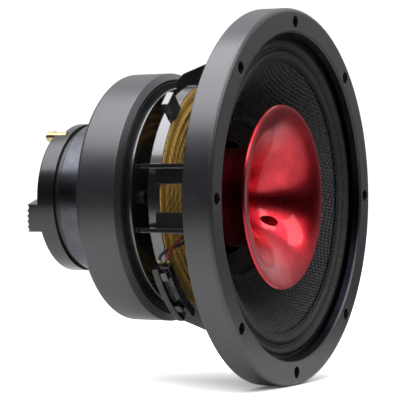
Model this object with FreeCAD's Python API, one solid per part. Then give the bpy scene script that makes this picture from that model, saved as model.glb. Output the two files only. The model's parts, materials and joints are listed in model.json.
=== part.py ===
import FreeCAD, Part
import math
import os

# A coaxial car loudspeaker: cone woofer, horn in its centre, compression driver behind its magnet.
# Millimetres. The axis of the speaker is Y, its front faces -Y and Z is up. The origin is the centre of
# the mounting plane, the rear face of the flange. Lengths along the axis are given as depths behind the
# front face of the trim ring, and point() turns a radius, an angle and a depth into a place.

# trim ring and flange
ring_depth = 16.7            # front face of the trim ring to the mounting plane
ring_radius = 105.6
ring_inner_radius = 90.5
ring_corner = 2.6
flange_radius = 102.4
flange_depth = 7.9           # front face of the metal flange
bolt_circle_radius = 98.0
bolt_count = 8
bolt_hole_radius = 3.45
edge_recess_depth = 6.8      # the cloth edge is held between this and the flange

# basket
spoke_count = 4
rib_offset = 18.7            # from the spoke's centre line to a rib's outer face
rib_thickness = 2.4
slot_half_width = 7.6        # the open slot along the middle of a spoke
landing_depth = 51.6         # front face of the ring that the spider is glued to
landing_rear_depth = 59.5
landing_radius = 65.5
landing_inner_radius = 59.5
spider_radius = 65.0
spider_seat_radius = 65.4    # the spokes are bored out to this in front of the landing ring
lug_angles = (45.0, 135.0, 225.0, 315.0)
lug_radius = 77.4            # outer end of the lugs on the landing ring, one between each two spokes
lug_half_width = 4.8
lug_depth = 50.0
lug_rear_depth = 54.4
base_radius = 63.1
base_bore_radius = 40.0
base_depth = 70.5
basket_screw_radius = 50.0   # the circle that the screws stand on
basket_screw_count = 4

# woofer motor
top_plate_depth = 74.0
magnet_depth = 80.0
back_plate_depth = 94.0
back_plate_rear_depth = 100.0
plate_radius = 66.5
magnet_radius = 67.0
magnet_bore_radius = 40.0
top_plate_bore_radius = 34.3
pole_radius = 31.8
throat_radius = 12.74
boot_radius = 71.0
boot_front_radius = 67.8     # its front edge slopes from this out to the full radius
boot_lip_radius = 60.0
boot_rear_depth = 101.5

# moving system of the woofer
former_radius = 32.7
former_wall = 0.35
former_front_depth = 42.0
coil_depth = 70.0
coil_rear_depth = 84.0
coil_thickness = 1.0
cone_edge_radius = 78.6
cone_edge_depth = 10.0
cone_bend_radius = 75.6
neck_depth = 43.5
neck_rear_depth = 48.0
cone_thickness = 0.9
bead_radius = 44.0
bead_height = 1.1
fabric_gap = 0.3             # between the cloth parts and the body that they bend with

# horn
horn_depth = 7.1
horn_radius = 52.0
horn_body_radius = 28.2
horn_base_depth = 70.0
horn_neck_depth = 31.0       # behind this the outside of the horn is a plain cylinder
bell_stops = [               # the inside of the flare, from behind its rim to its throat: (radius, depth)
    (48.0, 7.45),
    (44.0, 8.5),
    (40.0, 10.2),
    (36.0, 12.8),
    (32.0, 16.1),
    (28.0, 20.5),
    (24.0, 25.8),
    (20.6, 31.8),
    (17.2, 40.2),
    (14.6, 50.5),
    (13.2, 61.0),
]
horn_screw_angles = (-35.0, 145.0)
horn_screw_radius = 24.0     # the circle that the screws stand on
horn_counterbore_radius = 2.9
horn_counterbore_depth = 36.0

# compression driver
hf_depth = 100.8
hf_radius = 43.0
hf_sleeve_bore_radius = 40.0
hf_yoke_depth = 107.0        # rear face of its front disc
hf_plate_depth = 121.0
hf_sleeve_rear_depth = 129.0
hf_pole_radius = 21.6
hf_gap_radius = 23.1
hf_cover_depth = 132.6
hf_cover_rear_depth = 143.7
hf_cavity_radius = 31.5
hf_cover_wall = 2.5
dome_radius = 22.3
dome_sphere_radius = 38.0
dome_depth = 130.2
dome_thickness = 0.3
cover_screw_angles = (40.0, 140.0, 230.0, 310.0)
cover_screw_circle = 36.5
stud_angles = (90.0, 210.0, 330.0)
stud_circle = 30.0
flat_angle = 90.0            # direction of the flat on the rear cover
flat_distance = 37.4
flat_depth = 138.0           # where the flat starts
post_angles = (59.8, 120.2)
post_circle = 41.0
post_radius = 3.0
post_pin_depth = 144.0       # the plain pin, which a connector slides on, runs from here to the shoulder
post_shoulder_depth = 148.5
grip_angle = 196.0           # direction of the ribbed grip block
grip_width = 16.4
grip_ridges = 5

# push-terminal block of the woofer
block_angle = 226.0
block_half_span = 15.8       # degrees
block_inner_radius = 70.0
block_face_radius = 75.2
block_rim_radius = 78.0
block_depth = 46.2
block_rim_depth = 51.6
block_rear_depth = 55.6
button_angles = {"positive": 213.4, "negative": 231.6}
button_depth = 48.9
button_width = 5.2           # round the speaker
button_length = 3.8          # along its axis
button_height_radius = 78.2
button_gap = 0.3
wire_hole_radius = 1.6
wire_hole_circle = 73.2
button_foot_radius = 74.0    # the button's inner end at rest
contact_depths = {"positive": (47.2, 49.0), "negative": (52.2, 54.0)}
contact_end_angle = 208.43
terminal_screw_angle = 222.4

# leads from the terminal block to the coil: stops of (radius, angle, depth)
lead_radius = 0.9
lead_routes = {
    "positive": [
        (71.0, 208.4, 48.1),
        (71.0, 206.6, 48.1),
        (69.2, 203.6, 45.9),
        (62.5, 200.8, 42.8),
        (53.0, 199.4, 42.0),
        (43.5, 198.8, 44.0),
        (34.6, 198.4, 46.2),
    ],
    "negative": [
        (71.0, 208.4, 53.1),
        (71.0, 206.8, 53.1),
        (69.0, 204.8, 49.6),
        (62.0, 204.8, 45.4),
        (53.0, 206.4, 44.2),
        (43.5, 208.6, 45.4),
        (34.6, 209.6, 46.6),
    ],
}

axis = FreeCAD.Vector(0, 1, 0)
centre = FreeCAD.Vector(0, 0, 0)


def point(radius, angle, depth):
    turn = math.radians(angle)
    return FreeCAD.Vector(radius * math.cos(turn), depth - ring_depth, radius * math.sin(turn))


def turn_to(shape, angle):
    """Turns a shape that was made along +X round the axis, towards +Z for a positive angle."""
    shape.rotate(centre, axis, -angle)
    return shape


def outline(corners):
    """Closed wire in the plane of radius and depth. A corner may have a rounding as its third number."""
    places = [FreeCAD.Vector(corner[0], corner[1] - ring_depth, 0) for corner in corners]
    edges = []
    ends = []
    for i, corner in enumerate(corners):
        here = places[i]
        if len(corner) == 2:
            ends.append((here, here))
            continue
        before = (places[i - 1] - here).normalize()
        after = (places[(i + 1) % len(places)] - here).normalize()
        half = before.getAngle(after) / 2
        reach = corner[2] / math.tan(half)
        inward = (before + after).normalize()
        middle = here + inward * (corner[2] / math.sin(half) - corner[2])
        start = here + before * reach
        end = here + after * reach
        edges.append(Part.Arc(start, middle, end).toShape())
        ends.append((start, end))
    for i in range(len(ends)):
        start = ends[i][1]
        end = ends[(i + 1) % len(ends)][0]
        if start.distanceToPoint(end) > 1e-6:
            edges.append(Part.LineSegment(start, end).toShape())
    return Part.Wire(Part.__sortEdges__(edges))


def turned(corners):
    """Solid of revolution about the axis."""
    return Part.Face(outline(corners)).revolve(centre, axis, 360)


def turned_band(middle, half, start_radius=None, end_radius=None):
    """Turned cloth band of even thickness along a smooth curve of (radius, depth), with flat margins."""
    edges = []
    for side in (-half, half):
        places = [FreeCAD.Vector(r, d + side - ring_depth, 0) for r, d in middle]
        curve = Part.BSplineCurve()
        curve.interpolate(places)
        edges.append(curve.toShape())
        for margin, place in ((start_radius, places[0]), (end_radius, places[-1])):
            if margin is not None:
                edges.append(Part.LineSegment(place, FreeCAD.Vector(margin, place.y, 0)).toShape())
    for margin, (r, d) in ((start_radius, middle[0]), (end_radius, middle[-1])):
        r = r if margin is None else margin
        front = FreeCAD.Vector(r, d - half - ring_depth, 0)
        rear = FreeCAD.Vector(r, d + half - ring_depth, 0)
        edges.append(Part.LineSegment(front, rear).toShape())
    return Part.Face(Part.Wire(Part.__sortEdges__(edges))).revolve(centre, axis, 360)


def rod(radius, circle_radius, angle, front_depth, rear_depth):
    """Round bar parallel to the axis, on a circle round it."""
    start = point(circle_radius, angle, front_depth)
    return Part.makeCylinder(radius, rear_depth - front_depth, start, axis)


def rods(radius, circle_radius, angles, front_depth, rear_depth):
    return Part.makeCompound([rod(radius, circle_radius, a, front_depth, rear_depth) for a in angles])


def even_angles(count, start=0.0):
    return [start + 360.0 * i / count for i in range(count)]


def slab(width, corners, rounding=0.0):
    """Plate in the plane of radius and depth, centred on it, with the corners listed."""
    face = Part.Face(outline(corners))
    solid = face.extrude(FreeCAD.Vector(0, 0, width))
    solid.translate(FreeCAD.Vector(0, 0, -width / 2))
    if rounding:
        solid = solid.makeFillet(rounding, solid.Edges)
    return solid


def sector(inner_radius, outer_radius, front_depth, rear_depth, middle_angle, half_span):
    """Block of a ring, between two angles."""
    corners = [
        (inner_radius, front_depth),
        (outer_radius, front_depth),
        (outer_radius, rear_depth),
        (inner_radius, rear_depth),
    ]
    solid = Part.Face(outline(corners)).revolve(centre, axis, 2 * half_span)
    return turn_to(solid, middle_angle + half_span)


def screw(head_radius, head_height, shank_radius, length, circle_radius, angle, seat_depth):
    """Socket cap screw parallel to the axis. Its head stands forward of the seat."""
    head = rod(head_radius, circle_radius, angle, seat_depth - head_height, seat_depth)
    shank = rod(shank_radius, circle_radius, angle, seat_depth, seat_depth + length)
    front = seat_depth - head_height
    socket = rod(head_radius * 0.45, circle_radius, angle, front, front + head_height / 2)
    return head.fuse(shank).cut(socket)


# ---------------------------------------------------------------- front and basket


def make_trim_ring():
    ring = turned([
        (92.2, 0.0, 1.0),
        (ring_radius, 0.0, ring_corner),
        (ring_radius, ring_depth, 0.6),
        (flange_radius, ring_depth),
        (flange_radius, flange_depth),
        (94.3, flange_depth),
        (94.3, edge_recess_depth),
        (ring_inner_radius, edge_recess_depth, 0.5),
        (ring_inner_radius, 4.3, 1.5),
    ])
    angles = even_angles(bolt_count)
    return ring.cut(rods(bolt_hole_radius, bolt_circle_radius, angles, -1, flange_depth + 1))


def make_flange():
    flange = turned([
        (88.6, flange_depth),
        (flange_radius, flange_depth),
        (flange_radius, ring_depth),
        (86.2, ring_depth, 0.8),
        (86.2, 12.5, 0.8),
        (88.6, 12.5, 0.5),
    ])
    angles = even_angles(bolt_count)
    return flange.cut(rods(bolt_hole_radius, bolt_circle_radius, angles, flange_depth - 1, ring_depth + 1))


def make_spoke():
    """Two parallel ribs with a web strip along the inner edge of each, along +X."""
    rib_corners = [
        (57.5, base_depth + 1),
        (57.5, 65.8, 1.0),
        (65.6, 65.4, 1.0),
        (69.8, 61.2, 2.0),
        (85.2, 18.2, 2.0),
        (88.6, 16.0),
        (88.6, 10.5),
        (84.6, 10.5),
        (79.0, 18.0, 8.0),
        (66.5, 44.5, 6.0),
        (63.9, landing_depth - 1.2),
        (63.9, landing_depth),
        (57.0, landing_depth),
        (57.0, landing_rear_depth, 2.0),
        (54.0, base_depth + 1),
    ]
    web_inner = [(64.8, landing_depth + 0.8), (67.4, 44.9, 6.0), (79.9, 18.4, 8.0), (85.2, 11.3)]
    web_outer = [(88.6, 12.4), (83.1, 19.4, 8.0), (70.6, 45.9, 6.0), (68.0, landing_depth + 0.8)]
    web_corners = web_inner + web_outer
    web_width = rib_offset - rib_thickness - slot_half_width + 0.4
    pieces = []
    for side in (-1, 1):
        rib = slab(rib_thickness, rib_corners)
        rib.translate(FreeCAD.Vector(0, 0, side * (rib_offset - rib_thickness / 2)))
        web = slab(web_width, web_corners)
        web.translate(FreeCAD.Vector(0, 0, side * (slot_half_width + web_width / 2)))
        pieces += [rib, web]
    return pieces


def make_lug():
    """Flat tab that stands out from the landing ring, along +X."""
    corners = [
        (landing_inner_radius + 1.5, lug_depth),
        (lug_radius, lug_depth, 0.5),
        (lug_radius, lug_rear_depth, 0.5),
        (landing_inner_radius + 1.5, lug_rear_depth),
    ]
    return slab(2 * lug_half_width, corners)


def make_basket(terminal_seat):
    landing_ring = turned([
        (landing_inner_radius, landing_depth),
        (landing_radius, landing_depth, 0.6),
        (landing_radius, landing_rear_depth, 1.0),
        (landing_inner_radius, landing_rear_depth, 1.0),
    ])
    base_ring = turned([
        (base_bore_radius, base_depth),
        (base_radius, base_depth, 0.8),
        (base_radius, top_plate_depth),
        (base_bore_radius, top_plate_depth),
    ])
    pieces = [landing_ring, base_ring]
    for angle in even_angles(spoke_count):
        pieces += [turn_to(piece, angle) for piece in make_spoke()]
    pieces += [turn_to(make_lug(), angle) for angle in lug_angles]
    shelf_rear_depth = block_rear_depth - 0.6
    pieces.append(sector(64.0, block_inner_radius, landing_depth, shelf_rear_depth, block_angle, 13.0))
    basket = make_flange().multiFuse(pieces).removeSplitter()
    basket = basket.cut(rod(spider_seat_radius, 0, 0, 30.0, landing_depth))
    hole_angles = even_angles(basket_screw_count)
    holes = rods(2.6, basket_screw_radius, hole_angles, base_depth - 1, top_plate_depth + 1)
    return basket.cut(holes).cut(terminal_seat)


def make_basket_screws():
    angles = even_angles(basket_screw_count)
    screws = [screw(4.3, 2.8, 2.5, 8.0, basket_screw_radius, angle, base_depth) for angle in angles]
    return Part.makeCompound(screws)


# ---------------------------------------------------------------- moving system and cloth


def cone_depth_at(radius, thickness=0.0):
    """Depth of the cone's straight wall at a radius: its front face, or a parallel face behind it."""
    slope = (neck_depth - cone_edge_depth) / (cone_bend_radius - former_radius - cone_thickness)
    return cone_edge_depth + (cone_bend_radius - radius) * slope + thickness


def make_cone():
    """Straight-walled cone with a flat edge for the surround, a neck, and one stiffening bead."""
    wall = cone_thickness * 1.3
    bead = ((bead_radius + 2.0, 0.0, 1.2), (bead_radius, -bead_height, 0.8), (bead_radius - 2.0, 0.0, 1.2))
    bead_rear = [(r, cone_depth_at(r, wall) + rise, rounding) for r, rise, rounding in bead]
    bead_front = [(r, cone_depth_at(r) + rise, rounding) for r, rise, rounding in reversed(bead)]
    return turned([
        (cone_edge_radius, cone_edge_depth),
        (cone_edge_radius, cone_edge_depth + cone_thickness),
        (cone_bend_radius, cone_edge_depth + cone_thickness + 0.2, 2.0),
        *bead_rear,
        (former_radius + cone_thickness, cone_depth_at(former_radius + cone_thickness, wall), 1.5),
        (former_radius + cone_thickness, neck_rear_depth),
        (former_radius, neck_rear_depth),
        (former_radius, cone_depth_at(former_radius)),
        *bead_front,
        (cone_bend_radius, cone_edge_depth, 2.0),
    ])


def make_coil_former():
    return turned([
        (former_radius - former_wall, former_front_depth),
        (former_radius, former_front_depth),
        (former_radius, coil_rear_depth),
        (former_radius - former_wall, coil_rear_depth),
    ])


def make_voice_coil():
    return turned([
        (former_radius, coil_depth, 0.3),
        (former_radius + coil_thickness, coil_depth, 0.3),
        (former_radius + coil_thickness, coil_rear_depth, 0.3),
        (former_radius, coil_rear_depth, 0.3),
    ])


def make_surround():
    """Cloth edge with two rolls. Its outer margin is held under the trim ring."""
    middle = [(89.0, 7.4), (86.5, 6.2), (83.3, 9.1), (80.4, 7.0), (77.9, 9.1), (76.4, 9.3)]
    return turned_band(middle, 0.4, start_radius=94.0)


def make_spider():
    """Corrugated cloth disc between the former and the landing ring."""
    half = 0.3
    middle_depth = landing_depth - half - 0.05
    waves = 5
    wave_height = 1.5
    wave_start = 36.0
    wave_end = 59.0
    steps = 4 * waves
    middle = []
    for i in range(steps + 1):
        swing = wave_height * math.sin(math.tau * waves * i / steps)
        middle.append((wave_start + (wave_end - wave_start) * i / steps, middle_depth + swing))
    return turned_band(middle, half, former_radius + fabric_gap, spider_radius)


# ---------------------------------------------------------------- woofer motor


def make_top_plate():
    plate = turned([
        (top_plate_bore_radius, top_plate_depth),
        (plate_radius, top_plate_depth, 0.6),
        (plate_radius, magnet_depth),
        (top_plate_bore_radius, magnet_depth),
    ])
    angles = even_angles(basket_screw_count)
    return plate.cut(rods(2.5, basket_screw_radius, angles, top_plate_depth - 1, base_depth + 8.0))


def make_woofer_magnet():
    return turned([
        (magnet_bore_radius, magnet_depth, 0.8),
        (magnet_radius, magnet_depth, 0.8),
        (magnet_radius, back_plate_depth, 0.8),
        (magnet_bore_radius, back_plate_depth, 0.8),
    ])


def make_pole_back_plate():
    plate = turned([
        (throat_radius, horn_base_depth),
        (pole_radius, horn_base_depth, 1.0),
        (pole_radius, back_plate_depth, 1.5),
        (plate_radius, back_plate_depth),
        (plate_radius, back_plate_rear_depth, 0.6),
        (throat_radius, back_plate_rear_depth),
    ])
    plate = plate.cut(rods(1.5, horn_screw_radius, horn_screw_angles, horn_base_depth - 1, 81.0))
    return plate.cut(rods(2.5, stud_circle, stud_angles, 95.0, back_plate_rear_depth + 1))


def make_magnet_boot():
    return turned([
        (plate_radius + 0.5, 74.4),
        (boot_front_radius, 74.4, 0.3),
        (boot_radius + 0.2, 77.4, 0.8),
        (boot_radius, boot_rear_depth, 2.2),
        (boot_lip_radius, boot_rear_depth, 0.6),
        (boot_lip_radius, back_plate_rear_depth),
        (plate_radius + 0.5, back_plate_rear_depth),
    ])


# ---------------------------------------------------------------- horn


def make_horn():
    """Turned flare on a cylindrical body, flat at its rim and as narrow as the bored pole at its throat."""
    lip = 0.7
    forward = FreeCAD.Vector(0, -1, 0)
    outward = FreeCAD.Vector(1, 0, 0)
    front = [(horn_radius - lip, horn_depth)]
    throat = [(throat_radius, horn_base_depth)]
    places = [FreeCAD.Vector(r, d - ring_depth, 0) for r, d in front + bell_stops + throat]
    inside = Part.BSplineCurve()
    inside.interpolate(Points=places, InitialTangent=outward * -1, FinalTangent=forward * -1)
    under = [(horn_body_radius, horn_neck_depth), (29.4, 25.8), (33.0, 19.4), (38.0, 14.4), (43.0, 11.3),
             (48.0, 9.7)]
    places = [FreeCAD.Vector(r, d - ring_depth, 0) for r, d in under]
    outside = Part.BSplineCurve()
    outside.interpolate(Points=places, InitialTangent=forward, FinalTangent=FreeCAD.Vector(1, -0.25, 0))
    edges = [inside.toShape(), outside.toShape()]
    rim = front + [(horn_radius, horn_depth + lip), (horn_radius, 8.5), (horn_radius - 0.5, 9.0), under[-1]]
    foot = [under[0], (horn_body_radius, horn_base_depth)] + throat
    for run in (rim, foot):
        corners = [FreeCAD.Vector(r, d - ring_depth, 0) for r, d in run]
        edges += [Part.LineSegment(a, b).toShape() for a, b in zip(corners, corners[1:])]
    horn = Part.Face(Part.Wire(Part.__sortEdges__(edges))).revolve(centre, axis, 360)
    pockets = rods(horn_counterbore_radius, horn_screw_radius, horn_screw_angles, 0, horn_counterbore_depth)
    holes = rods(1.6, horn_screw_radius, horn_screw_angles, 0, horn_base_depth + 1)
    return horn.cut(pockets).cut(holes)


def make_horn_screws():
    seat = horn_counterbore_depth
    length = 80.0 - seat
    screws = [screw(2.4, 2.4, 1.5, length, horn_screw_radius, angle, seat) for angle in horn_screw_angles]
    return Part.makeCompound(screws)


# ---------------------------------------------------------------- compression driver


def make_hf_gasket():
    front = back_plate_rear_depth
    ring = turned([(15.0, front), (39.0, front), (39.0, hf_depth), (15.0, hf_depth)])
    return ring.cut(rods(2.6, stud_circle, stud_angles, back_plate_rear_depth - 1, hf_depth + 1))


def make_hf_mount_studs():
    return rods(2.5, stud_circle, stud_angles, 95.0, hf_yoke_depth - 1.5)


def make_hf_housing():
    return turned([
        (hf_sleeve_bore_radius, hf_depth),
        (hf_radius, hf_depth, 0.8),
        (hf_radius, hf_sleeve_rear_depth, 0.6),
        (hf_sleeve_bore_radius, hf_sleeve_rear_depth),
    ])


def make_hf_yoke():
    yoke = turned([
        (throat_radius, hf_depth),
        (hf_sleeve_bore_radius, hf_depth),
        (hf_sleeve_bore_radius, hf_yoke_depth),
        (hf_pole_radius, hf_yoke_depth, 1.0),
        (hf_pole_radius, 128.0),
        (18.6, 128.0),
        (18.6, 123.0),
    ])
    return yoke.cut(rods(2.5, stud_circle, stud_angles, hf_depth - 1, hf_yoke_depth - 1.5))


def make_hf_magnet():
    return turned([
        (25.5, hf_yoke_depth, 0.5),
        (39.0, hf_yoke_depth, 0.5),
        (39.0, hf_plate_depth, 0.5),
        (25.5, hf_plate_depth, 0.5),
    ])


def make_hf_top_plate():
    plate = turned([
        (hf_gap_radius, hf_plate_depth),
        (hf_sleeve_bore_radius, hf_plate_depth),
        (hf_sleeve_bore_radius, hf_sleeve_rear_depth),
        (26.5, hf_sleeve_rear_depth),
        (hf_gap_radius, 127.5),
    ])
    return plate.cut(rods(1.5, cover_screw_circle, cover_screw_angles, 123.0, hf_sleeve_rear_depth + 1))


def dome_depth_at(radius, sphere_radius):
    """Depth of a cap of that sphere round the dome's own centre."""
    centre_depth = dome_depth - math.sqrt(dome_sphere_radius ** 2 - dome_radius ** 2)
    return centre_depth + math.sqrt(sphere_radius ** 2 - radius ** 2)


def dome_arc(outer_radius, sphere_radius):
    """Arc in the plane of radius and depth, from the axis out to a radius."""
    stops = (0.0, outer_radius / 2, outer_radius)
    places = [FreeCAD.Vector(r, dome_depth_at(r, sphere_radius) - ring_depth, 0) for r in stops]
    return Part.Arc(*places)


def make_hf_phase_plug():
    """Bullet with four fins that hold it in the bore of the pole."""
    face_sphere = dome_sphere_radius - 1.4
    top = dome_arc(14.5, face_sphere)
    rim = top.EndPoint
    tip = FreeCAD.Vector(0, 106.0 - ring_depth, 0)
    side = Part.BSplineCurve()
    waist = [FreeCAD.Vector(r, d - ring_depth, 0) for r, d in ((11.0, 121.0), (4.5, 111.0))]
    side.interpolate([rim, *waist, tip])
    spine = Part.LineSegment(tip, top.StartPoint)
    wire = Part.Wire(Part.__sortEdges__([top.toShape(), side.toShape(), spine.toShape()]))
    bullet = Part.Face(wire).revolve(centre, axis, 360)
    fins = []
    for angle in even_angles(4, 45.0):
        fin = slab(1.2, [(3.0, 123.0), (18.6, 123.0), (18.6, 127.8), (10.0, 127.8)])
        fins.append(turn_to(fin, angle))
    return bullet.multiFuse(fins)


def make_hf_diaphragm_frame():
    ring = turned([
        (27.6, hf_sleeve_rear_depth),
        (41.4, hf_sleeve_rear_depth),
        (41.4, hf_cover_depth),
        (27.6, hf_cover_depth),
    ])
    front = hf_sleeve_rear_depth - 1
    return ring.cut(rods(1.6, cover_screw_circle, cover_screw_angles, front, hf_cover_depth + 1))


def make_hf_diaphragm():
    """Thin dome with a flat rim. The rim floats just clear of the frame."""
    front = dome_arc(dome_radius, dome_sphere_radius)
    rear = dome_arc(dome_radius, dome_sphere_radius + dome_thickness)
    rim_edge = 27.2
    rim_rear = rear.EndPoint.y
    corners = [
        front.EndPoint,
        FreeCAD.Vector(rim_edge, front.EndPoint.y, 0),
        FreeCAD.Vector(rim_edge, rim_rear, 0),
        rear.EndPoint,
    ]
    edges = [Part.LineSegment(a, b).toShape() for a, b in zip(corners, corners[1:])]
    middle = Part.LineSegment(front.StartPoint, rear.StartPoint)
    edges += [front.toShape(), rear.toShape(), middle.toShape()]
    return Part.Face(Part.Wire(Part.__sortEdges__(edges))).revolve(centre, axis, 360)


def make_hf_voice_coil():
    former = turned([(22.05, 121.6), (dome_radius, 121.6), (dome_radius, dome_depth), (22.05, dome_depth)])
    winding = turned([(dome_radius, 121.8), (22.65, 121.8), (22.65, 126.2), (dome_radius, 126.2)])
    return former.fuse(winding)


def make_hf_damping_pad():
    front = 138.8
    rear = hf_cover_rear_depth - hf_cover_wall
    radius = hf_cavity_radius - 0.5
    return turned([(0, front), (radius, front, 1.0), (radius, rear), (0, rear)])


def make_hf_posts():
    """Two gold posts, parallel to the axis, that come out at the ends of the flat."""
    posts = []
    for angle in post_angles:
        stem = rod(post_radius - 0.3, post_circle, angle, 136.0, post_pin_depth)
        pin = rod(post_radius, post_circle, angle, post_pin_depth, post_shoulder_depth)
        tip = rod(post_radius - 0.6, post_circle, angle, post_shoulder_depth, 149.4)
        posts.append(stem.multiFuse([pin, tip]))
    return posts


def make_grip_block():
    """Radial block on the rear cover with rounded ridges across its rear face."""
    top_depth = 152.4
    lean = 2.6
    half = grip_width / 2
    pitch = grip_width / grip_ridges
    corners = [
        FreeCAD.Vector(16.0, hf_cover_rear_depth - 2 - ring_depth, half),
        FreeCAD.Vector(16.0, top_depth - ring_depth, half),
        FreeCAD.Vector(16.0, top_depth - lean - ring_depth, -half),
        FreeCAD.Vector(16.0, hf_cover_rear_depth - 2 - ring_depth, -half),
    ]
    block = Part.Face(Part.makePolygon(corners + corners[:1])).extrude(FreeCAD.Vector(30, 0, 0))
    grooves = []
    for i in range(grip_ridges):
        height = half - pitch * (i + 0.5)
        depth = top_depth - lean * (i + 0.5) / grip_ridges
        start = FreeCAD.Vector(10, depth + 0.75 - ring_depth, height)
        grooves.append(Part.makeCylinder(1.75, 40, start, FreeCAD.Vector(1, 0, 0)))
    block = block.cut(Part.makeCompound(grooves))
    block = block.common(Part.makeCylinder(hf_radius, 40, FreeCAD.Vector(0, 120 - ring_depth, 0), axis))
    return turn_to(block, grip_angle)


def make_hf_rear_cover(posts):
    inside_depth = hf_cover_rear_depth - hf_cover_wall
    cover = turned([
        (hf_cavity_radius, hf_cover_depth),
        (hf_radius, hf_cover_depth, 0.5),
        (hf_radius, hf_cover_rear_depth, 1.0),
        (0, hf_cover_rear_depth),
        (0, inside_depth),
        (hf_cavity_radius, inside_depth),
    ])
    far_side = Part.makeBox(10, 30, 80, FreeCAD.Vector(flat_distance, flat_depth - ring_depth, -40))
    cover = cover.cut(turn_to(far_side, flat_angle))
    for post in posts:
        cover = cover.cut(post)
    cover = cover.fuse(make_grip_block())
    rear = hf_cover_rear_depth
    seats = rods(3.0, cover_screw_circle, cover_screw_angles, rear - 2.4, rear + 9)
    holes = rods(1.6, cover_screw_circle, cover_screw_angles, hf_cover_depth - 1, hf_cover_rear_depth)
    return cover.cut(seats).cut(holes)


def make_hf_cover_screws():
    """Pan head screws driven from the rear."""
    seat = hf_cover_rear_depth - 2.4
    screws = []
    for angle in cover_screw_angles:
        head = rod(2.8, cover_screw_circle, angle, seat, seat + 2.0)
        shank = rod(1.5, cover_screw_circle, angle, 124.0, seat)
        socket = rod(1.2, cover_screw_circle, angle, seat + 1.0, seat + 2.0)
        screws.append(head.fuse(shank).cut(socket))
    return Part.makeCompound(screws)


# ---------------------------------------------------------------- woofer terminals and leads


def button_shape(angle, growth, inner_radius, outer_radius):
    """Bar with rounded corners that points out along the middle of the block."""
    half = button_width / 2 + growth
    length = button_length + 2 * growth
    box = Part.makeBox(outer_radius - inner_radius, length, 2 * half,
                       FreeCAD.Vector(inner_radius, button_depth - length / 2 - ring_depth, -half))
    along = [edge for edge in box.Edges if abs(edge.tangentAt(edge.FirstParameter).x) > 0.9]
    return turn_to(box.makeFillet(1.2 + growth, along), angle)


def terminal_seat_envelope():
    """Space of the whole block, which the spoke's rib is cut back to."""
    return sector(block_inner_radius, 95.0, block_depth - 0.4, block_rear_depth + 0.4, block_angle,
                  block_half_span + 0.4)


def make_contact(name):
    """Brass strip in the floor of the block, with one end out of the block's end face."""
    low, high = contact_depths[name]
    far_angle = button_angles[name] + 2.0
    middle = (contact_end_angle + far_angle) / 2
    return sector(70.6, 71.4, low, high, middle, (far_angle - contact_end_angle) / 2)


def make_terminal_screw():
    """Countersunk screw along the radius, between the buttons."""
    outward = FreeCAD.Vector(1, 0, 0)
    head = Part.makeCone(1.3, 2.8, 1.6, FreeCAD.Vector(block_face_radius - 1.6, 0, 0), outward)
    shank = Part.makeCylinder(1.3, 6.0, FreeCAD.Vector(block_face_radius - 7.6, 0, 0), outward)
    solid = head.fuse(shank)
    slot = Part.makeBox(1.0, 8.0, 0.7, FreeCAD.Vector(block_face_radius - 0.8, -4.0, -0.35))
    solid = solid.cut(slot)
    solid.translate(FreeCAD.Vector(0, button_depth - ring_depth, 0))
    return turn_to(solid, terminal_screw_angle)


def make_terminal_block(fitted):
    span = (block_angle, block_half_span)
    body = sector(block_inner_radius, block_face_radius, block_depth, block_rear_depth, *span)
    rim = sector(block_inner_radius, block_rim_radius, block_rim_depth, block_rear_depth, *span)
    block = body.fuse(rim).removeSplitter()
    block = block.makeFillet(0.6, block.Edges)
    for angle in button_angles.values():
        block = block.cut(button_shape(angle, button_gap, block_inner_radius + 1.5, block_rim_radius + 5))
        hole = rod(wire_hole_radius, wire_hole_circle, angle, button_depth, block_rear_depth + 1)
        block = block.cut(hole)
    for piece in fitted:
        block = block.cut(piece)
    return block


def make_lead(route, radius):
    """Round cord along straight runs joined by tangent arcs."""
    places = [point(*stop) for stop in route]
    edges = []
    start = places[0]
    for i in range(1, len(places) - 1):
        here = places[i]
        before = places[i - 1] - here
        after = places[i + 1] - here
        reach = 0.45 * min(before.Length, after.Length)
        before.normalize()
        after.normalize()
        half = before.getAngle(after) / 2
        bend = reach * math.tan(half)
        middle = here + (before + after).normalize() * (bend / math.sin(half) - bend)
        edges.append(Part.LineSegment(start, here + before * reach).toShape())
        edges.append(Part.Arc(here + before * reach, middle, here + after * reach).toShape())
        start = here + after * reach
    edges.append(Part.LineSegment(start, places[-1]).toShape())
    path = Part.Wire(edges)
    heading = places[1] - places[0]
    section = Part.Wire(Part.makeCircle(radius, places[0], heading))
    return path.makePipeShell([section], True, True)


# ---------------------------------------------------------------- all sub-parts


def save(name, shape):
    solids = shape.Solids
    result = solids[0] if len(solids) == 1 else Part.makeCompound(solids)
    result.exportStep("parts/" + name + ".step")
    box = result.BoundBox
    size = [round(value, 1) for value in (box.XLength, box.YLength, box.ZLength)]
    state = "valid" if result.isValid() else "NOT VALID"
    print(name, state, len(solids), "solids", round(result.Volume, 1), "mm3", size)


def make_leads():
    leads = {}
    for name, route in lead_routes.items():
        leads["lead_" + name] = make_lead(route, lead_radius)
    return leads


def make_terminal_parts():
    contacts = [make_contact(name) for name in button_angles]
    terminal_screw = make_terminal_screw()
    parts = {
        "terminal_block": make_terminal_block(contacts + [terminal_screw]),
        "terminal_contacts": Part.makeCompound(contacts),
        "terminal_screw": terminal_screw,
    }
    for name, angle in button_angles.items():
        parts["terminal_button_" + name] = button_shape(angle, 0, button_foot_radius, button_height_radius)
    return parts


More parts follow.
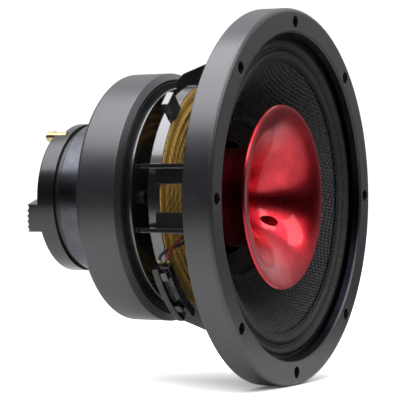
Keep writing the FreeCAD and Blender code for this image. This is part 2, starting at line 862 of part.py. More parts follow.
def make_all():
    posts = make_hf_posts()
    terminal_parts = make_terminal_parts()
    parts = {
        "trim_ring": make_trim_ring(),
        "basket": make_basket(terminal_seat_envelope()).cut(terminal_parts["terminal_screw"]),
        "basket_screws": make_basket_screws(),
        "surround": make_surround(),
        "cone": make_cone(),
        "coil_former": make_coil_former(),
        "voice_coil": make_voice_coil(),
        "spider": make_spider(),
        "top_plate": make_top_plate(),
        "woofer_magnet": make_woofer_magnet(),
        "pole_back_plate": make_pole_back_plate(),
        "magnet_boot": make_magnet_boot(),
        "horn": make_horn(),
        "horn_screws": make_horn_screws(),
        "hf_gasket": make_hf_gasket(),
        "hf_mount_studs": make_hf_mount_studs(),
        "hf_housing": make_hf_housing(),
        "hf_yoke": make_hf_yoke(),
        "hf_magnet": make_hf_magnet(),
        "hf_top_plate": make_hf_top_plate(),
        "hf_phase_plug": make_hf_phase_plug(),
        "hf_diaphragm_frame": make_hf_diaphragm_frame(),
        "hf_diaphragm": make_hf_diaphragm(),
        "hf_voice_coil": make_hf_voice_coil(),
        "hf_damping_pad": make_hf_damping_pad(),
        "hf_rear_cover": make_hf_rear_cover(posts),
        "hf_cover_screws": make_hf_cover_screws(),
        "hf_terminals": Part.makeCompound(posts),
    }
    parts.update(terminal_parts)
    parts.update(make_leads())
    return parts


os.makedirs("parts", exist_ok=True)
for part_name, part_shape in make_all().items():
    save(part_name, part_shape)
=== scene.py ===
import json
import math

import bmesh
import bpy
from mathutils import Matrix, Vector


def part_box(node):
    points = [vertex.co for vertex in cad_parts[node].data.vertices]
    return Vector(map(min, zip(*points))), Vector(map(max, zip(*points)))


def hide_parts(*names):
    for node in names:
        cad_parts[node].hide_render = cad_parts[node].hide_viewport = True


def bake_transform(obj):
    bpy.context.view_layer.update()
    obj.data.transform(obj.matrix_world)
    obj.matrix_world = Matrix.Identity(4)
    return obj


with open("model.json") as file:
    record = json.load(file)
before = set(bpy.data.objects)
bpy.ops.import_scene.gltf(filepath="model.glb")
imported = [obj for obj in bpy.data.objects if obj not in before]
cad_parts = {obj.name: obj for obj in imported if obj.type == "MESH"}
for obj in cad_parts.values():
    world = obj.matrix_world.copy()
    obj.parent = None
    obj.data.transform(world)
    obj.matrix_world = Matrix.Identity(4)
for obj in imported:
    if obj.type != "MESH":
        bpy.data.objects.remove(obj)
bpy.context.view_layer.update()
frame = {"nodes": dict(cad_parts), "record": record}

# A coaxial car speaker on a white floor. Its axis is Y, the front faces -Y, and lengths along the axis are
# given as depths behind the front face of the trim ring, in millimetres, as they are in the CAD source.
MM = 0.001
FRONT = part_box("trim_ring")[0].y
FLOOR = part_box("trim_ring")[0].z
NODES = frame["nodes"]


# ---------------------------------------------------------------- camera, lights and floor


def look_along(azimuth, elevation, roll):
    """Camera axes (right, up, back) for a view at that azimuth and elevation, rolled clockwise."""
    a, e, r = (math.radians(angle) for angle in (azimuth, elevation, roll))
    back = Vector((math.sin(a) * math.cos(e), -math.cos(a) * math.cos(e), math.sin(e)))
    right = Vector((math.cos(a), math.sin(a), 0))
    up = back.cross(right)
    return right * math.cos(r) - up * math.sin(r), right * math.sin(r) + up * math.cos(r), back


def make_camera():
    distance = 1.2072
    sideways = 0.0538
    upward = 0.0016
    right, up, back = look_along(-62.67, 0.515, 0.25)
    data = bpy.data.cameras.new("camera")
    data.sensor_width = 36.0
    data.lens = 194.3
    data.clip_start = 0.05
    data.clip_end = 50.0
    camera = bpy.data.objects.new("camera", data)
    bpy.context.scene.collection.objects.link(camera)
    place = Vector((0, FRONT, 0)) + back * distance - right * sideways - up * upward
    axes = Matrix((right, up, back)).transposed().to_4x4()
    camera.matrix_world = Matrix.Translation(place) @ axes
    bpy.context.scene.camera = camera


def area_light(name, place, target, size, power, colour):
    data = bpy.data.lights.new(name, "AREA")
    data.shape = "RECTANGLE"
    data.size, data.size_y = size
    data.energy = power
    data.color = colour
    light = bpy.data.objects.new(name, data)
    bpy.context.scene.collection.objects.link(light)
    light.location = place
    light.rotation_euler = (Vector(target) - Vector(place)).to_track_quat("-Z", "Y").to_euler()


def add_glow(tree, where, light, direction, edge, middle, strength):
    """Adds a soft round glow to a light colour. Edge and middle are cosines of the angle from that direction,
    where the glow ends and where it is at its full strength."""
    aim = tree.nodes.new("ShaderNodeVectorMath")
    aim.operation = "DOT_PRODUCT"
    aim.inputs[1].default_value = direction
    glow = tree.nodes.new("ShaderNodeMapRange")
    glow.inputs["From Min"].default_value = edge
    glow.inputs["From Max"].default_value = middle
    glow.inputs["To Max"].default_value = strength
    both = tree.nodes.new("ShaderNodeVectorMath")
    both.operation = "ADD"
    tree.links.new(where, aim.inputs[0])
    tree.links.new(aim.outputs["Value"], glow.inputs["Value"])
    tree.links.new(light, both.inputs[0])
    tree.links.new(glow.outputs[0], both.inputs[1])
    return both.outputs[0]


def make_world():
    """White behind the object and for even light. Reflections see a dark room that is bright overhead and has
    two soft glows, behind the speaker and at its front right."""
    world = bpy.data.worlds.new("studio")
    bpy.context.scene.world = world
    world.use_nodes = True
    world.cycles.sampling_method = "NONE"
    tree = world.node_tree
    tree.nodes.clear()
    out = tree.nodes.new("ShaderNodeOutputWorld")
    mix = tree.nodes.new("ShaderNodeMixShader")
    path = tree.nodes.new("ShaderNodeLightPath")
    white = tree.nodes.new("ShaderNodeBackground")
    white.inputs["Color"].default_value = (1, 1, 1, 1)
    white.inputs["Strength"].default_value = 1.12
    room = tree.nodes.new("ShaderNodeBackground")
    room.inputs["Strength"].default_value = 1.0
    toward = tree.nodes.new("ShaderNodeTexCoord").outputs["Generated"]
    split = tree.nodes.new("ShaderNodeSeparateXYZ")
    ramp = tree.nodes.new("ShaderNodeValToRGB")
    stops = ((0.0, 0.012), (0.30, 0.03), (0.55, 0.35), (0.75, 0.75), (1.0, 0.9))
    elements = ramp.color_ramp.elements
    while len(elements) < len(stops):
        elements.new(0.5)
    for element, (position, grey) in zip(elements, stops):
        element.position = position
        element.color = (grey, grey * 0.99, grey * 1.07, 1)
    tree.links.new(toward, split.inputs[0])
    tree.links.new(split.outputs["Z"], ramp.inputs["Fac"])
    light = add_glow(tree, toward, ramp.outputs["Color"], (0.86, 0.445, 0.35), edge=0.55, middle=0.95,
                     strength=0.6)
    light = add_glow(tree, toward, light, (0.80, -0.42, 0.43), edge=0.84, middle=0.99, strength=0.6)
    tree.links.new(light, room.inputs["Color"])
    tree.links.new(path.outputs["Is Glossy Ray"], mix.inputs["Fac"])
    tree.links.new(white.outputs[0], mix.inputs[1])
    tree.links.new(room.outputs[0], mix.inputs[2])
    tree.links.new(mix.outputs[0], out.inputs["Surface"])


def make_lights():
    area_light("overhead", (-0.35, 0.05, 0.95), (0, 0, 0), (1.5, 1.2), 26.0, (0.965, 0.96, 1.0))
    area_light("front_fill", (0.1, -1.1, 0.75), (0, 0, 0), (1.0, 0.5), 5.5, (1.0, 0.98, 0.96))


def make_floor():
    """Pale floor. In reflections it darkens away from the speaker, so that black parts stay black, and seen
    directly it is lifted a little, more behind the ring, so that the shadow there stays faint."""
    mesh = bpy.data.meshes.new("floor")
    half = 3.0
    corners = [(-half, -half, FLOOR), (half, -half, FLOOR), (half, half, FLOOR), (-half, half, FLOOR)]
    mesh.from_pydata(corners, [], [(0, 1, 2, 3)])
    floor = bpy.data.objects.new("floor", mesh)
    bpy.context.scene.collection.objects.link(floor)
    material = bpy.data.materials.new("floor")
    material.use_nodes = True
    tree = material.node_tree
    tree.nodes.remove(tree.nodes["Principled BSDF"])
    pale = tree.nodes.new("ShaderNodeBsdfDiffuse")
    pale.inputs["Color"].default_value = (0.93, 0.93, 0.93, 1)
    mirrored = tree.nodes.new("ShaderNodeBsdfDiffuse")
    where = tree.nodes.new("ShaderNodeTexCoord")
    away = tree.nodes.new("ShaderNodeVectorMath")
    away.operation = "DISTANCE"
    away.inputs[1].default_value = (-0.05, 0.08, FLOOR)
    near = tree.nodes.new("ShaderNodeMapRange")
    near.inputs["From Min"].default_value = 0.12
    near.inputs["From Max"].default_value = 0.62
    near.inputs["To Min"].default_value = 0.62
    near.inputs["To Max"].default_value = 0.03
    tree.links.new(where.outputs["Object"], away.inputs[0])
    tree.links.new(away.outputs["Value"], near.inputs["Value"])
    tree.links.new(near.outputs[0], mirrored.inputs["Color"])
    path = tree.nodes.new("ShaderNodeLightPath")
    mix = tree.nodes.new("ShaderNodeMixShader")
    split = tree.nodes.new("ShaderNodeSeparateXYZ")
    behind = tree.nodes.new("ShaderNodeMapRange")
    behind.inputs["From Min"].default_value = -0.01
    behind.inputs["From Max"].default_value = 0.06
    behind.inputs["To Min"].default_value = 0.05
    behind.inputs["To Max"].default_value = 0.3
    tree.links.new(where.outputs["Object"], split.inputs[0])
    tree.links.new(split.outputs["Y"], behind.inputs["Value"])
    lift = tree.nodes.new("ShaderNodeMath")
    lift.operation = "MULTIPLY"
    tree.links.new(behind.outputs[0], lift.inputs[1])
    glow = tree.nodes.new("ShaderNodeEmission")
    both = tree.nodes.new("ShaderNodeAddShader")
    tree.links.new(path.outputs["Is Glossy Ray"], mix.inputs["Fac"])
    tree.links.new(path.outputs["Is Camera Ray"], lift.inputs[0])
    tree.links.new(lift.outputs[0], glow.inputs["Strength"])
    tree.links.new(pale.outputs[0], mix.inputs[1])
    tree.links.new(mirrored.outputs[0], mix.inputs[2])
    tree.links.new(mix.outputs[0], both.inputs[0])
    tree.links.new(glow.outputs[0], both.inputs[1])
    tree.links.new(both.outputs[0], tree.nodes["Material Output"].inputs["Surface"])
    mesh.materials.append(material)


# ---------------------------------------------------------------- material building blocks


class Finish:
    """One material and the nodes that it is made of. Lengths in its patterns are millimetres."""

    def __init__(self, name, roughness, metallic=0.0, **constants):
        self.material = bpy.data.materials.new(name)
        self.material.use_nodes = True
        self.tree = self.material.node_tree
        self.shader = self.tree.nodes["Principled BSDF"]
        self.shader.inputs["Roughness"].default_value = roughness
        self.shader.inputs["Metallic"].default_value = metallic
        for socket, value in constants.items():
            self.shader.inputs[socket.replace("_", " ").title().replace("Ior", "IOR")].default_value = value
        self.normal = None

    def node(self, kind, **settings):
        made = self.tree.nodes.new(kind)
        for name, value in settings.items():
            setattr(made, name, value)
        return made

    def feed(self, socket, value):
        """Puts a number into a socket, or links another node's output to it."""
        if isinstance(value, bpy.types.NodeSocket):
            self.tree.links.new(value, socket)
        else:
            socket.default_value = value

    def calc(self, operation, first, second=0.0):
        made = self.node("ShaderNodeMath", operation=operation)
        self.feed(made.inputs[0], first)
        self.feed(made.inputs[1], second)
        return made.outputs[0]

    def place(self):
        """Position on the object, in millimetres: X, depth axis Y and Z."""
        where = self.node("ShaderNodeTexCoord").outputs["Object"]
        scale = self.node("ShaderNodeVectorMath", operation="SCALE")
        self.feed(scale.inputs[0], where)
        scale.inputs["Scale"].default_value = 1 / MM
        split = self.node("ShaderNodeSeparateXYZ")
        self.feed(split.inputs[0], scale.outputs[0])
        return split.outputs

    def polar(self):
        """Radius from the speaker's axis, angle round it in radians, and place along it."""
        x, y, z = self.place()
        radius = self.calc("SQRT", self.calc("ADD", self.calc("POWER", x, 2.0), self.calc("POWER", z, 2.0)))
        return radius, self.calc("ARCTAN2", z, x), y

    def vector(self, x, y, z):
        made = self.node("ShaderNodeCombineXYZ")
        for socket, value in zip(made.inputs, (x, y, z)):
            self.feed(socket, value)
        return made.outputs[0]

    def noise(self, size, detail=2.0, rough=0.5, where=None):
        """Cloudy pattern from 0 to 1, with features about that many millimetres across."""
        made = self.node("ShaderNodeTexNoise")
        if where is None:
            where = self.vector(*self.place())
        self.feed(made.inputs["Vector"], where)
        made.inputs["Scale"].default_value = 1 / size
        made.inputs["Detail"].default_value = detail
        made.inputs["Roughness"].default_value = rough
        return made.outputs["Fac"]

    def spread(self, value, low, high, new_low=0.0, new_high=1.0):
        made = self.node("ShaderNodeMapRange")
        for socket, number in zip(made.inputs, (value, low, high, new_low, new_high)):
            self.feed(socket, number)
        return made.outputs[0]

    def blend(self, factor, first, second):
        made = self.node("ShaderNodeMix", data_type="RGBA")
        self.feed(made.inputs[0], factor)
        for socket, colour in zip((made.inputs[6], made.inputs[7]), (first, second)):
            self.feed(socket, (*colour, 1) if isinstance(colour, tuple) else colour)
        return made.outputs[2]

    def colour(self, value):
        self.feed(self.shader.inputs["Base Color"], value)

    def roughness(self, value, low, high):
        self.feed(self.shader.inputs["Roughness"], self.spread(value, 0.0, 1.0, low, high))

    def bump(self, height, depth):
        """Relief from a pattern of 0 to 1 that stands that many millimetres high."""
        made = self.node("ShaderNodeBump")
        made.inputs["Distance"].default_value = depth * MM
        self.feed(made.inputs["Height"], height)
        if self.normal is not None:
            self.feed(made.inputs["Normal"], self.normal)
        self.normal = made.outputs[0]
        self.feed(self.shader.inputs["Normal"], self.normal)

    def soften_edges(self, radius):
        """Rounds the shading over sharp edges, and gives back how near an edge a point is."""
        made = self.node("ShaderNodeBevel", samples=6)
        made.inputs["Radius"].default_value = radius * MM
        true_normal = self.node("ShaderNodeNewGeometry").outputs["Normal"]
        dot = self.node("ShaderNodeVectorMath", operation="DOT_PRODUCT")
        self.feed(dot.inputs[0], made.outputs[0])
        self.feed(dot.inputs[1], true_normal)
        self.normal = made.outputs[0]
        self.feed(self.shader.inputs["Normal"], self.normal)
        return self.spread(dot.outputs["Value"], 0.995, 0.85)

    def turned_tangent(self):
        """Rings round the axis, which draw a highlight out across them."""
        made = self.node("ShaderNodeTangent", direction_type="RADIAL", axis="Y")
        self.feed(self.shader.inputs["Tangent"], made.outputs[0])
        self.shader.inputs["Anisotropic Rotation"].default_value = 0.25

    def weave(self, across, along):
        """Plain weave from two thread counts, as a height of 0 to 1."""
        cells = self.calc("ADD", self.calc("FLOOR", across), self.calc("FLOOR", along))
        over = self.calc("MODULO", self.calc("ABSOLUTE", cells), 2.0)
        heights = []
        for one, other in ((across, along), (along, across)):
            round_thread = self.calc("ABSOLUTE", self.calc("SINE", self.calc("MULTIPLY", one, math.pi)))
            crossing = self.calc("ABSOLUTE", self.calc("SINE", self.calc("MULTIPLY", other, math.pi)))
            crest = self.spread(crossing, 0.0, 1.0, 0.45, 1.0)
            heights.append(self.calc("MULTIPLY", self.calc("POWER", round_thread, 0.6), crest))
        return self.spread(over, 0.0, 1.0, heights[0], heights[1])


# ---------------------------------------------------------------- materials


def moulding(name, dark, light, rough, grain=0.35, relief=0.012, worn=None, dull_inside=None, **constants):
    """Moulded plastic: fine spark grain, faint cloudiness in the colour, and lightly worn edges.
    Inside the radius dull_inside it turns metallic on its near-black colour, so that it reflects next to
    nothing."""
    finish = Finish(name, rough, **constants)
    edge = finish.soften_edges(0.35)
    cloud = finish.noise(9.0, 4.0, 0.6)
    tone = finish.blend(finish.spread(cloud, 0.3, 0.7), dark, light)
    if worn is not None:
        rubbed = finish.calc("MULTIPLY", edge, finish.spread(finish.noise(1.6, 5.0, 0.7), 0.42, 0.62))
        tone = finish.blend(rubbed, tone, worn)
    finish.colour(tone)
    finish.roughness(finish.noise(2.5, 5.0, 0.65), rough - 0.07, rough + 0.07)
    finish.bump(finish.noise(grain, 2.0, 0.6), relief)
    if dull_inside is not None:
        # Darker inside this radius: metallic on the near-black colour, so the ring's inner wall reflects next
        # to nothing.
        dull_mask = finish.spread(finish.polar()[0], dull_inside - 0.5, dull_inside, 1.0, 0.0)
        finish.feed(finish.shader.inputs["Metallic"], dull_mask)
    return finish.material


def rubber(name):
    """Satin rubber boot with a stipple and faint moulding rings."""
    finish = Finish(name, 0.35, Specular_Ior_Level=0.8)
    finish.soften_edges(0.4)
    radius, _, along = finish.polar()
    cloud = finish.noise(6.0, 5.0, 0.6)
    dark, light = (0.0035, 0.0033, 0.0045), (0.006, 0.0057, 0.008)
    finish.colour(finish.blend(finish.spread(cloud, 0.3, 0.7), dark, light))
    rings = finish.noise(0.5, 1.0, 0.5, finish.vector(radius, along, 0.0))
    finish.roughness(finish.noise(1.2, 4.0, 0.6), 0.28, 0.42)
    finish.bump(rings, 0.006)
    finish.bump(finish.noise(0.22, 2.0, 0.6), 0.016)
    return finish.material


def casting(name):
    """Cast basket under a thick gloss black coat, which is slightly wavy and thin at the edges."""
    finish = Finish(name, 0.22, Specular_Ior_Level=0.9, Coat_Weight=0.7, Coat_Roughness=0.06, Coat_Ior=1.6)
    edge = finish.soften_edges(0.8)
    cloud = finish.spread(finish.noise(14.0, 3.0, 0.5), 0.3, 0.7)
    coat = finish.blend(cloud, (0.002, 0.002, 0.0022), (0.004, 0.004, 0.0044))
    thin = finish.calc("MULTIPLY", edge, finish.spread(finish.noise(3.0, 4.0, 0.6), 0.45, 0.7))
    finish.colour(finish.blend(thin, coat, (0.02, 0.02, 0.021)))
    finish.roughness(finish.noise(5.0, 4.0, 0.6), 0.16, 0.3)
    finish.bump(finish.noise(1.4, 2.0, 0.5), 0.012)
    return finish.material


def turned_metal(name, dark, light, rough, pitch, relief, anisotropy, **constants):
    """Metal turned on a lathe: fine rings round the speaker's axis, and highlights drawn out across them."""
    finish = Finish(name, rough, 1.0, Anisotropic=anisotropy, **constants)
    finish.soften_edges(0.3)
    finish.turned_tangent()
    radius, angle, along = finish.polar()
    rings = finish.noise(pitch, 3.0, 0.7, finish.vector(radius, along, finish.calc("MULTIPLY", angle, 0.4)))
    cloud = finish.noise(11.0, 4.0, 0.55)
    shade = finish.spread(finish.calc("ADD", finish.calc("MULTIPLY", rings, 0.5), cloud), 0.5, 1.0)
    finish.colour(finish.blend(shade, dark, light))
    finish.roughness(rings, rough - 0.06, rough + 0.08)
    finish.bump(rings, relief)
    return finish.material


def plated(name, dark, light, rough, metallic=1.0, **constants):
    """Plated or blackened steel: a mottled surface with fine scratches and brighter edges."""
    finish = Finish(name, rough, metallic, **constants)
    edge = finish.soften_edges(0.2)
    x, y, z = finish.place()
    stretched = finish.vector(finish.calc("MULTIPLY", x, 0.15), y, z)
    scratches = finish.spread(finish.noise(0.25, 4.0, 0.7, stretched), 0.35, 0.75)
    mottle = finish.spread(finish.noise(2.2, 5.0, 0.65), 0.3, 0.7)
    tone = finish.blend(mottle, dark, light)
    rubbed = tuple(min(1, part * 1.6) for part in light)
    finish.colour(finish.blend(finish.calc("MULTIPLY", edge, 0.5), tone, rubbed))
    finish.roughness(scratches, rough - 0.06, rough + 0.1)
    finish.bump(scratches, 0.004)
    return finish.material


def cloth(name, dark, light, pitch, relief, rough, turn=0.0, holes=None, **constants):
    """Impregnated woven cloth. The square weave lies flat across the speaker, as it was before pressing."""
    finish = Finish(name, rough, **constants)
    x, _, z = finish.place()
    cos, sin = math.cos(turn) / pitch, math.sin(turn) / pitch
    across = finish.calc("ADD", finish.calc("MULTIPLY", x, cos), finish.calc("MULTIPLY", z, -sin))
    along = finish.calc("ADD", finish.calc("MULTIPLY", x, sin), finish.calc("MULTIPLY", z, cos))
    wander = finish.spread(finish.noise(7.0, 2.0), 0.0, 1.0, -0.25, 0.25)
    height = finish.weave(finish.calc("ADD", across, wander), finish.calc("ADD", along, wander))
    fibre = finish.noise(pitch * 0.4, 3.0, 0.7)
    cloud = finish.noise(5.0, 4.0, 0.6)
    shade = finish.calc("ADD", finish.calc("MULTIPLY", height, 0.75), finish.calc("MULTIPLY", fibre, 0.35))
    shade = finish.spread(finish.calc("ADD", shade, finish.calc("MULTIPLY", cloud, 0.3)), 0.25, 1.25)
    tone = finish.blend(shade, dark, light)
    if holes is not None:
        gap = finish.spread(height, 0.42, 0.15)
        tone = finish.blend(gap, tone, holes)
    finish.colour(tone)
    finish.roughness(cloud, rough - 0.08, rough + 0.08)
    finish.bump(height, relief)
    finish.bump(fibre, relief * 0.25)
    return finish.material


def winding(name):
    """Enamelled copper wire, one turn beside another along the former."""
    finish = Finish(name, 0.3, 1.0, Coat_Weight=0.6)
    _, _, along = finish.polar()
    turns = finish.calc("SINE", finish.calc("MULTIPLY", along, math.tau / 0.36))
    finish.colour(finish.blend(finish.noise(3.0, 3.0), (0.36, 0.12, 0.04), (0.62, 0.27, 0.11)))
    finish.roughness(finish.noise(1.0, 3.0), 0.22, 0.42)
    finish.bump(finish.spread(turns, -1.0, 1.0), 0.12)
    return finish.material


def ferrite(name):
    """Ground ceramic: dark grey grains, small chips along the edges."""
    finish = Finish(name, 0.55)
    edge = finish.soften_edges(0.5)
    grains = finish.noise(0.5, 5.0, 0.7)
    chips = finish.calc("MULTIPLY", edge, finish.spread(finish.noise(1.5, 4.0), 0.5, 0.6))
    finish.colour(finish.blend(finish.calc("ADD", grains, chips), (0.02, 0.02, 0.022), (0.07, 0.07, 0.075)))
    finish.bump(grains, 0.03)
    return finish.material


def felt(name):
    """Pressed grey fibres."""
    finish = Finish(name, 0.95, Sheen_Weight=0.5, Sheen_Roughness=0.6)
    fibre = finish.noise(0.35, 6.0, 0.8)
    finish.colour(finish.blend(fibre, (0.05, 0.05, 0.05), (0.17, 0.17, 0.165)))
    finish.bump(fibre, 0.12)
    return finish.material


def sleeve(name, dark, light):
    """Braided lead: strands of varnished cotton over tinsel wire."""
    finish = Finish(name, 0.6, Specular_Ior_Level=0.3)
    fibre = finish.noise(0.3, 4.0, 0.7)
    finish.colour(finish.blend(finish.spread(fibre, 0.3, 0.7), dark, light))
    finish.bump(fibre, 0.03)
    return finish.material


def make_finishes():
    """The finish of each material slot in the record. Colours come in pairs, dark and light."""
    ring_black = ((0.003, 0.0028, 0.0042), (0.0055, 0.0052, 0.0075))
    cover_black = ((0.002, 0.002, 0.0023), (0.004, 0.004, 0.0045))
    plastic_black = ((0.003, 0.003, 0.0033), (0.0055, 0.0055, 0.006))
    phosphate_black = ((0.002, 0.002, 0.0022), (0.004, 0.004, 0.0042))
    oxide_black = ((0.004, 0.004, 0.0043), (0.009, 0.009, 0.0095))
    edge_black = ((0.0006, 0.0006, 0.0007), (0.005, 0.005, 0.0055))
    cone_black = ((0.0005, 0.0005, 0.0006), (0.010, 0.010, 0.011))
    spider_yellow = ((0.08, 0.042, 0.005), (0.48, 0.29, 0.055))
    steel = ((0.40, 0.41, 0.43), (0.58, 0.59, 0.61))
    titanium = ((0.40, 0.39, 0.37), (0.55, 0.53, 0.5))
    red = ((0.42, 0.008, 0.020), (0.68, 0.03, 0.045))
    sleeve_grey = ((0.055, 0.057, 0.065), (0.10, 0.104, 0.116))
    ring_wall_radius = 92.1
    return {
        "trim_ring": moulding("ring_moulding", *ring_black, rough=0.33, grain=0.8, relief=0.02,
                              worn=(0.03, 0.03, 0.032), dull_inside=ring_wall_radius, Specular_Ior_Level=0.8),
        "basket": casting("gloss_casting"),
        "zinc_screw": plated("zinc_plate", *steel, rough=0.35),
        "black_screw": plated("black_oxide", *oxide_black, rough=0.4, metallic=0.3),
        "treated_cloth": cloth("edge_cloth", *edge_black, pitch=1.0, relief=0.22, rough=0.32,
                               Specular_Ior_Level=0.3),
        "cone": cloth("cone_weave", *cone_black, pitch=1.9, relief=0.75, rough=0.26, turn=0.3,
                      Specular_Ior_Level=0.32),
        "former": plated("former_sheet", *oxide_black, rough=0.4, metallic=0.0),
        "copper_wire": winding("copper_winding"),
        "spider_cloth": cloth("spider_weave", *spider_yellow, pitch=1.2, relief=0.3, rough=0.6, turn=0.2,
                              holes=(0.02, 0.01, 0.002), Specular_Ior_Level=0.2),
        "plated_steel": plated("plated_steel", *steel, rough=0.32),
        "black_steel": plated("black_phosphate", *phosphate_black, rough=0.5, metallic=0.0,
                              Specular_Ior_Level=0.2),
        "ferrite": ferrite("ground_ferrite"),
        "boot_rubber": rubber("boot_rubber"),
        "horn": turned_metal("red_anodised", *red, rough=0.28, pitch=0.35, relief=0.003, anisotropy=0.85,
                             Coat_Weight=0.45, Coat_Roughness=0.1, Coat_Ior=1.6),
        "gasket": felt("foam_gasket"),
        "hf_sleeve": turned_metal("satin_sleeve", *sleeve_grey, rough=0.3, pitch=0.5, relief=0.006,
                                  anisotropy=0.5),
        "hf_cover": moulding("rear_moulding", *cover_black, rough=0.2, grain=0.45, relief=0.008,
                             worn=(0.015, 0.015, 0.016), Specular_Ior_Level=0.6),
        "black_plastic": moulding("black_moulding", *plastic_black, rough=0.26, Specular_Ior_Level=0.5),
        "titanium": plated("titanium_foil", *titanium, rough=0.28),
        "felt": felt("grey_felt"),
        "gold": plated("gold_plate", (0.38, 0.29, 0.13), (0.58, 0.46, 0.24), rough=0.25),
        "brass": plated("brass", (0.55, 0.37, 0.12), (0.72, 0.52, 0.2), rough=0.33),
        "button_moulding": moulding("button_moulding", *plastic_black, rough=0.22, Specular_Ior_Level=0.9),
        "lead_red": sleeve("lead_sleeve_positive", (0.05, 0.003, 0.003), (0.15, 0.010, 0.010)),
        "lead_black": sleeve("lead_sleeve_negative", (0.004, 0.005, 0.007), (0.015, 0.018, 0.026)),
    }


def dress_nodes(finishes):
    """Gives each CAD node the finish of the slot that the record names for it."""
    for row in frame["record"]["subparts"]:
        node = NODES[row["node"]]
        for slot in node.material_slots:
            slot.link = "OBJECT"
            slot.material = finishes[row["material_slot"]]


# ---------------------------------------------------------------- cloth and leads


def at(radius, angle, depth):
    """A place in the row frame, from a radius in mm, an angle in degrees and a depth in mm."""
    turn = math.radians(angle)
    return Vector((radius * math.cos(turn) * MM, FRONT + depth * MM, radius * math.sin(turn) * MM))


def add_piece(name, mesh, material):
    for face in mesh.polygons:
        face.use_smooth = True
    mesh.materials.append(material)
    piece = bpy.data.objects.new(name, mesh)
    bpy.context.scene.collection.objects.link(piece)
    return piece


def lathe(name, section, steps, material):
    """Surface of revolution round the speaker's axis, from a closed section of (radius, depth)."""
    builder = bmesh.new()
    rings = []
    for i in range(steps):
        angle = 360 * i / steps
        rings.append([builder.verts.new(at(radius, angle, depth)) for radius, depth in section])
    for i, ring in enumerate(rings):
        following = rings[(i + 1) % steps]
        for j in range(len(section)):
            k = (j + 1) % len(section)
            builder.faces.new((ring[j], ring[k], following[k], following[j]))
    bmesh.ops.recalc_face_normals(builder, faces=builder.faces)
    mesh = bpy.data.meshes.new(name)
    builder.to_mesh(mesh)
    builder.free()
    return add_piece(name, mesh, material)


def thick_section(line, half):
    """Closed section of a cloth that follows a line of (radius, depth), half that thick to each side."""
    front, rear = [], []
    for i, (radius, depth) in enumerate(line):
        before = line[max(i - 1, 0)]
        after = line[min(i + 1, len(line) - 1)]
        run, fall = after[0] - before[0], after[1] - before[1]
        length = math.hypot(run, fall)
        side = (fall / length * half, -run / length * half)
        front.append((radius + side[0], depth + side[1]))
        rear.append((radius - side[0], depth - side[1]))
    return front + rear[::-1]


def bend_by_radius(piece):
    """Sets every vertex to its distance from the axis, bakes the object's transform into the mesh, then puts
    every vertex back where it was.
    """
    vertices = piece.data.vertices
    places = [vertex.co.copy() for vertex in vertices]
    for vertex in vertices:
        vertex.co = Vector((math.hypot(vertex.co.x, vertex.co.z), 0, 0))
    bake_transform(piece)
    for vertex, place in zip(vertices, places):
        vertex.co = place
    piece.data.update()


def eased(stops, steps):
    """Smooth line through (radius, depth) stops that are its crests and troughs."""
    line = []
    for (r0, d0), (r1, d1) in zip(stops, stops[1:]):
        for i in range(steps):
            t = i / steps
            line.append((r0 + (r1 - r0) * t, d0 + (d1 - d0) * (1 - math.cos(math.pi * t)) / 2))
    return line + [stops[-1]]


def make_surround(finishes):
    """Cloth edge with two rolls, from under the trim ring to the cone's flat edge."""
    stops = [(94.0, 7.4), (89.0, 7.4), (86.5, 6.2), (83.3, 9.1), (80.4, 7.0), (77.9, 9.1), (76.4, 9.3)]
    line = eased(stops, 10)
    piece = lathe("surround_cloth", thick_section(line, 0.4), 360, finishes["treated_cloth"])
    bend_by_radius(piece)
    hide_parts("surround")


def make_spider(finishes):
    """Corrugated cloth disc from the former to the landing ring."""
    half = 0.3
    middle_depth = 51.25
    waves = 5
    wave_height = 1.5
    wave_start = 36.0
    wave_end = 59.0
    steps = 24 * waves
    line = [(33.0, middle_depth)]
    for i in range(steps + 1):
        share = i / steps
        swing = wave_height * math.sin(math.tau * waves * share)
        line.append((wave_start + (wave_end - wave_start) * share, middle_depth + swing))
    line += [(61.0, middle_depth), (65.0, middle_depth)]
    piece = lathe("spider_cloth", thick_section(line, half), 240, finishes["spider_cloth"])
    bend_by_radius(piece)
    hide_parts("spider")


LEAD_ROUTES = {
    "positive": [
        (71.0, 208.4, 48.1),
        (71.0, 206.6, 48.1),
        (69.2, 203.6, 45.9),
        (62.5, 200.8, 42.8),
        (53.0, 199.4, 42.0),
        (43.5, 198.8, 44.0),
        (34.6, 198.4, 46.2),
    ],
    "negative": [
        (71.0, 208.4, 53.1),
        (71.0, 206.8, 53.1),
        (69.0, 204.8, 49.6),
        (62.0, 204.8, 45.4),
        (53.0, 206.4, 44.2),
        (43.5, 208.6, 45.4),
        (34.6, 209.6, 46.6),
    ],
}


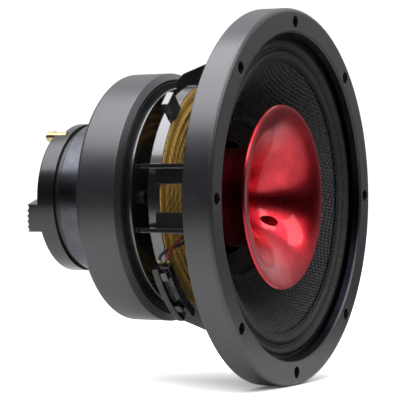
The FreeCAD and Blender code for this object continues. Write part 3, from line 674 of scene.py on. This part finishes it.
def smooth_route(stops):
    """Points along the smooth spline that a route's stops control."""
    curve = bpy.data.curves.new("route", "CURVE")
    curve.dimensions = "3D"
    spline = curve.splines.new("NURBS")
    spline.points.add(len(stops) - 1)
    for control, stop in zip(spline.points, stops):
        control.co = (*at(*stop), 1)
    spline.order_u = 3
    spline.use_endpoint_u = True
    spline.resolution_u = 40
    carrier = bpy.data.objects.new("route", curve)
    mesh = bpy.data.meshes.new_from_object(carrier)
    line = [vertex.co.copy() for vertex in mesh.vertices]
    bpy.data.objects.remove(carrier)
    bpy.data.curves.remove(curve)
    bpy.data.meshes.remove(mesh)
    return line


def braided_tube(name, line, radius, material):
    """Round lead whose surface rises and falls as crossing strands of a braid."""
    around = 28
    strands = 7
    lay = 2.6
    relief = 0.09
    builder = bmesh.new()
    rings = []
    side = None
    travelled = 0.0
    for i, place in enumerate(line):
        ahead = (line[min(i + 1, len(line) - 1)] - line[max(i - 1, 0)]).normalized()
        travelled += (place - line[i - 1]).length / MM if i else 0.0
        side = ahead.orthogonal() if side is None else side
        side = (side - ahead * side.dot(ahead)).normalized()
        other = ahead.cross(side)
        ring = []
        for j in range(around):
            turn = math.tau * j / around
            wave = math.tau * travelled / lay
            over = math.cos(strands * turn + wave) * math.cos(strands * turn - wave)
            reach = (radius + relief * (over - 1) / 2) * MM
            ring.append(builder.verts.new(place + (side * math.cos(turn) + other * math.sin(turn)) * reach))
        rings.append(ring)
    for ring, following in zip(rings, rings[1:]):
        for j in range(around):
            k = (j + 1) % around
            builder.faces.new((ring[j], following[j], following[k], ring[k]))
    builder.faces.new(rings[0])
    builder.faces.new(rings[-1])
    bmesh.ops.recalc_face_normals(builder, faces=builder.faces)
    mesh = bpy.data.meshes.new(name)
    builder.to_mesh(mesh)
    builder.free()
    return add_piece(name, mesh, material)


def make_leads(finishes):
    radius = 0.9
    for name, slot in (("positive", "lead_red"), ("negative", "lead_black")):
        piece = braided_tube("braided_lead_" + name, smooth_route(LEAD_ROUTES[name]), radius, finishes[slot])
        bend_by_radius(piece)
        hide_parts("lead_" + name)


bpy.context.scene.view_settings.view_transform = "Standard"
make_camera()
finishes = make_finishes()
dress_nodes(finishes)
make_leads(finishes)
make_surround(finishes)
make_spider(finishes)
make_world()
make_lights()
make_floor()
